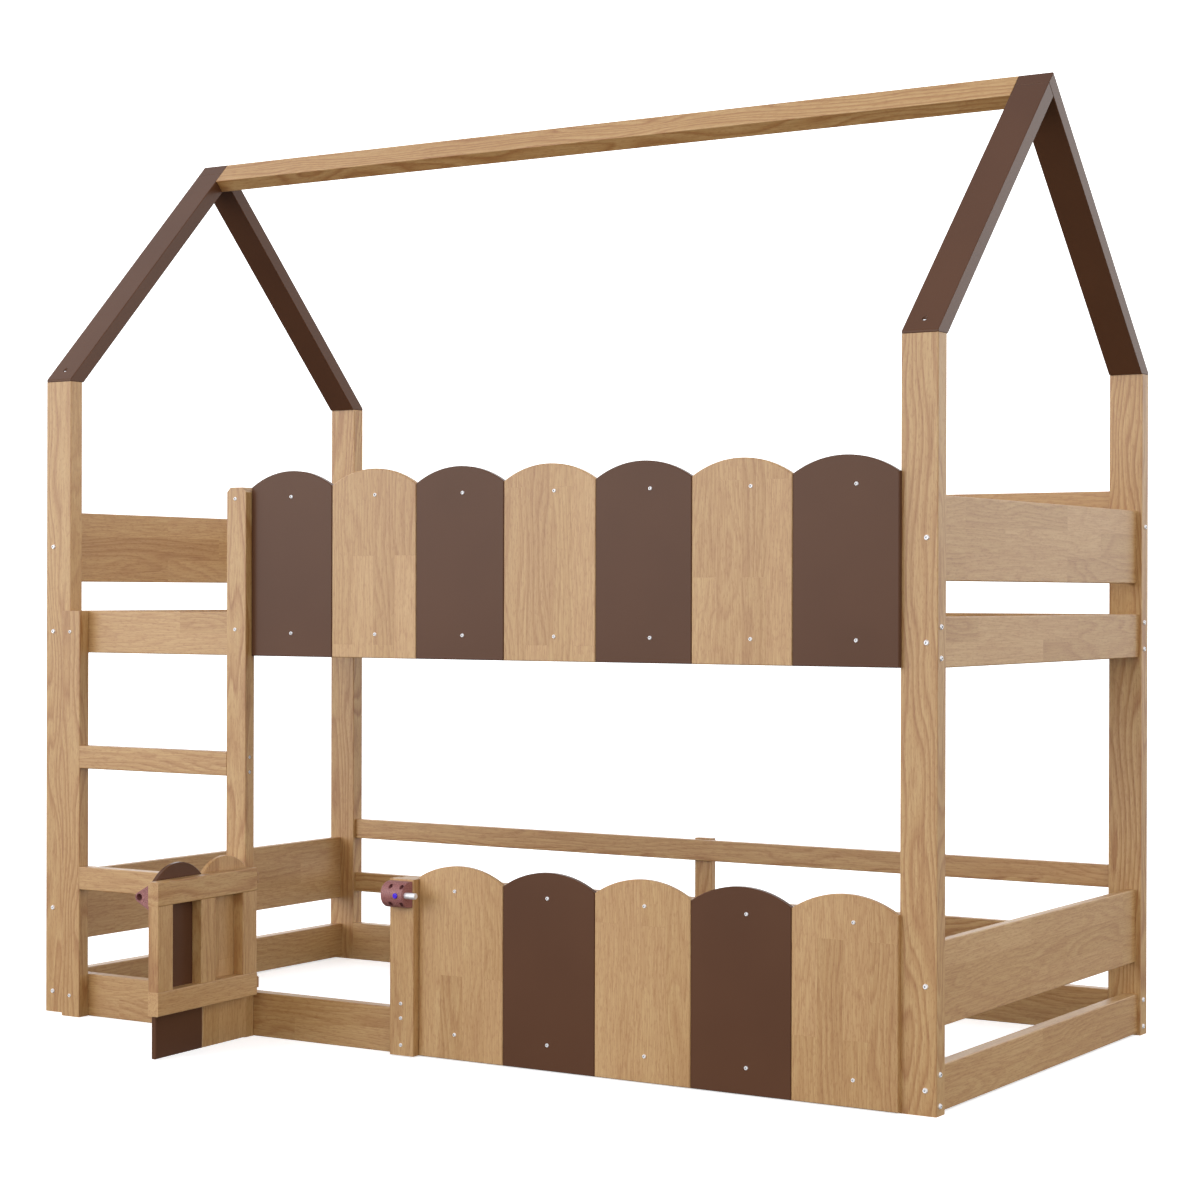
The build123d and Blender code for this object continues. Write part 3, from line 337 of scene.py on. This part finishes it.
birch_shader.inputs["Roughness"].default_value = 0.6

dress(["slats"], birch)


# Fences
# Arched boards 205 mm wide and 11 mm thick stand edge to edge, every other one in brown lacquer
# and the rest in glued oak staves with upright grain.

panel_stave = 0.0512
painted_panels = [f"upper_fence_panel_{number}" for number in (1, 3, 5, 7)]
painted_panels += [f"lower_fence_panel_{number}" for number in (2, 4)]
plain_panels = [f"upper_fence_panel_{number}" for number in (2, 4, 6)]
plain_panels += [f"lower_fence_panel_{number}" for number in (1, 3, 5)]
dress(painted_panels, brown)
for panel in plain_panels:
    glued_oak(panel, upright, backward, panel_stave)


# Ladder
# Two oak stiles of 50 x 28 mm are screwed to the fronts of the rails, with two rungs held flush
# between them by sunk screws.

oak("ladder_left_stile", upright, backward)
oak("ladder_right_stile", upright, backward)
oak("ladder_rungs", lengthwise, backward)


# Gate and gate post
# The gate is a frame of oak members 46 mm wide, tenoned together, with one oak and one brown
# arched board on its outer side. It stands open at 86 degrees.

open_angle = radians(86)
gate_out = Vector((cos(open_angle), -sin(open_angle), 0))
gate_face = Vector((sin(open_angle), cos(open_angle), 0))
oak("gate_post", upright, backward)
oak("gate_bottom_rail", gate_out, gate_face)
oak("gate_top_rail", gate_out, gate_face)
oak("gate_uprights", upright, gate_face)
glued_oak("gate_light_panel", upright, gate_face, panel_stave)
dress(["gate_dark_panel"], brown)


# Hinges, bolts and screws
# Bolts, inserts and screws are of steel with a pale zinc plating, and their heads are cold
# formed with a hexagonal socket. The leaves and pins of the two hinges are coated in beige.

zinc, zinc_tree, zinc_shader, zinc_places = new_finish("zinc_plated_steel")
# Barrel-plated zinc is nearly white with a soft shine, which varies in patches of about 2 mm.
spangles_per_metre = 500.0
spangle = add_node(
    zinc_tree, "TexNoise", {"Vector": zinc_places, "Scale": spangles_per_metre, "Detail": 2.0}
).outputs["Fac"]
spangle_gloss = add_node(
    zinc_tree, "MapRange", {"Value": spangle, "To Min": 0.62, "To Max": 0.72}
).outputs["Result"]
zinc_tree.links.new(spangle_gloss, zinc_shader.inputs["Roughness"])
# Painted shade: an ambient occlusion reach of 4 mm turns the base colour nearly black in the narrow
# sockets and darker where the heads meet the wood.
socket_reach = 0.004
openness = add_node(
    zinc_tree, "AmbientOcclusion", {"Distance": socket_reach}, samples=8
).outputs["AO"]
# Painted shade: occluded places take the near-black stop, open faces the pale zinc.
painted_socket_shade = add_node(
    zinc_tree, "ValToRGB", {"Fac": openness}, stops=[(0.28, "#1A1918"), (0.55, "#FAFAFC")]
).outputs["Color"]
zinc_tree.links.new(painted_socket_shade, zinc_shader.inputs["Base Color"])
zinc_shader.inputs["Metallic"].default_value = 1.0

beige, beige_tree, beige_shader, beige_places = new_finish("beige_powder_coat")
# Baked polyester powder in the tone of the wood: half matt, with the fine dimples of powder that
# has melted, about 1 mm across.
powder_per_metre = 900.0
dimples = add_node(
    beige_tree, "TexNoise", {"Vector": beige_places, "Scale": powder_per_metre, "Detail": 2.0}
).outputs["Fac"]
dimple_tone = add_node(
    beige_tree, "ValToRGB", {"Fac": dimples}, stops=[(0.3, "#A67C54"), (0.7, "#B0865C")]
).outputs["Color"]
beige_tree.links.new(dimple_tone, beige_shader.inputs["Base Color"])
dimple_relief = add_node(
    beige_tree, "Bump", {"Strength": 0.2, "Distance": 0.0002, "Height": dimples}
).outputs["Normal"]
beige_tree.links.new(dimple_relief, beige_shader.inputs["Normal"])
beige_shader.inputs["Roughness"].default_value = 0.5

dress(["stile_hinge_leaves", "gate_hinge_leaves", "hinge_pins"], beige)
dress(["frame_bolts", "threaded_inserts", "fixing_screws", "gate_screws"], zinc)


# Latch
# A sliding latch: the housing and the receiver are moulded in mauve nylon with a fine speckle,
# the rod is zinc-plated steel and the round button is glossy violet plastic.

mauve, mauve_tree, mauve_shader, mauve_places = new_finish("mauve_nylon")
# Moulded nylon with a spark-eroded surface: speckles about 1 mm across in colour and height.
speckles_per_metre = 900.0
speckle = add_node(
    mauve_tree, "TexNoise", {"Vector": mauve_places, "Scale": speckles_per_metre, "Detail": 2.0}
).outputs["Fac"]
mauve_tone = add_node(
    mauve_tree, "ValToRGB", {"Fac": speckle}, stops=[(0.38, "#6E3B3E"), (0.62, "#B27772")]
).outputs["Color"]
mauve_tree.links.new(mauve_tone, mauve_shader.inputs["Base Color"])
mauve_relief = add_node(
    mauve_tree, "Bump", {"Strength": 0.3, "Distance": 0.0002, "Height": speckle}
).outputs["Normal"]
mauve_tree.links.new(mauve_relief, mauve_shader.inputs["Normal"])
mauve_shader.inputs["Roughness"].default_value = 0.5

violet, violet_tree, violet_shader, violet_places = new_finish("violet_plastic")
# Polished moulding: one strong colour, with a gloss that dulls a little where a thumb rubs it.
rubs_per_metre = 250.0
rub = add_node(
    violet_tree, "TexNoise", {"Vector": violet_places, "Scale": rubs_per_metre, "Detail": 2.0}
).outputs["Fac"]
rub_gloss = add_node(
    violet_tree, "MapRange", {"Value": rub, "To Min": 0.12, "To Max": 0.25}
).outputs["Result"]
violet_tree.links.new(rub_gloss, violet_shader.inputs["Roughness"])
violet_shader.inputs["Base Color"].default_value = linear("#4A22D8")

dress(["latch_housing", "latch_receiver"], mauve)
dress(["latch_button"], violet)
dress(["latch_bolt"], zinc)


# Studio
# A pale seamless floor under a white dome of light, with one large soft light low at the front
# left. The dome is brightest above the horizon and dim below it, and the floor throws no light
# back, so that undersides are deep in tone.

floor_reach = 60
floor_mesh = bmesh.new()
bmesh.ops.create_grid(floor_mesh, x_segments=1, y_segments=1, size=floor_reach)
floor_data = bpy.data.meshes.new("studio_floor")
floor_mesh.to_mesh(floor_data)
floor_mesh.free()
floor = bpy.data.objects.new("studio_floor", floor_data)
bpy.context.scene.collection.objects.link(floor)
floor.visible_diffuse = False
floor.visible_glossy = False

# Matt paint on a smooth board, bright enough to look white up to the edge of the view.
floor_finish, _, floor_shader, _ = new_finish("matt_white_floor")
floor_shader.inputs["Base Color"].default_value = linear("#F4F4F4")
floor_shader.inputs["Roughness"].default_value = 0.9
floor_shader.inputs["Specular IOR Level"].default_value = 0.2
floor_shader.inputs["Emission Color"].default_value = linear("#FFFFFF")
floor_shader.inputs["Emission Strength"].default_value = 0.6
floor_data.materials.append(floor_finish)

dome = bpy.data.worlds.new("white_dome")
dome.use_nodes = True
dome_tree = dome.node_tree
dome_direction = add_node(dome_tree, "TexCoord", {}).outputs["Generated"]
dome_height = add_node(dome_tree, "SeparateXYZ", {"Vector": dome_direction}).outputs["Z"]
dome_share = add_node(
    dome_tree, "MapRange", {"Value": dome_height, "From Min": -1.0, "From Max": 1.0}
).outputs["Result"]
dome_tone = add_node(
    dome_tree,
    "ValToRGB",
    {"Fac": dome_share},
    stops=[(0.44, "#4C4C4C"), (0.49, "#CFCFCF"), (0.6, "#F4F4F4"), (0.93, "#85898F")],
).outputs["Color"]
# The dome is a little dimmer towards the right end of the bed.
left_strength = 2.5
right_strength = 2.05
dome_side = add_node(dome_tree, "SeparateXYZ", {"Vector": dome_direction}).outputs["X"]
side_strength = add_node(
    dome_tree,
    "MapRange",
    {
        "Value": dome_side,
        "From Min": -1.0,
        "From Max": 1.0,
        "To Min": left_strength,
        "To Max": right_strength,
    },
).outputs["Result"]
dome_light = dome_tree.nodes["Background"]
dome_tree.links.new(side_strength, dome_light.inputs["Strength"])
dome_tree.links.new(dome_tone, dome_light.inputs["Color"])
bpy.context.scene.world = dome
bpy.context.scene.view_settings.view_transform = "Standard"

softbox = bpy.data.lights.new("front_softbox", "AREA")
softbox.shape = "RECTANGLE"
softbox.size = 5.0
softbox.size_y = 3.2
softbox.energy = 90.0
softbox_place = Vector((-3.6, -5.6, 2.0))
softbox_stand = bpy.data.objects.new("front_softbox", softbox)
softbox_stand.location = softbox_place
bed_middle = Vector((0, 0, 0.8))
towards_bed = bed_middle - softbox_place
softbox_stand.rotation_euler = towards_bed.to_track_quat("-Z", "Y").to_euler()
bpy.context.scene.collection.objects.link(softbox_stand)

# The camera stands in front of the right end, at half the bed's height and nearly level.
camera_spot = (2.8992, -4.36937, 0.89165)
camera_heading = radians(32.23)
camera_rise = radians(-0.15)
camera_lean = radians(0.14)
level_view = radians(90)
camera_place = Matrix.Translation(camera_spot)
camera_turn = Matrix.Rotation(camera_heading, 4, "Z")
camera_pitch = Matrix.Rotation(level_view + camera_rise, 4, "X")
camera_roll = Matrix.Rotation(camera_lean, 4, "Z")
camera_data = bpy.data.cameras.new("camera")
camera_data.lens = 77.16
camera_data.sensor_width = 36
camera = bpy.data.objects.new("camera", camera_data)
camera.matrix_world = camera_place @ camera_turn @ camera_pitch @ camera_roll
bpy.context.scene.collection.objects.link(camera)
bpy.context.scene.camera = camera
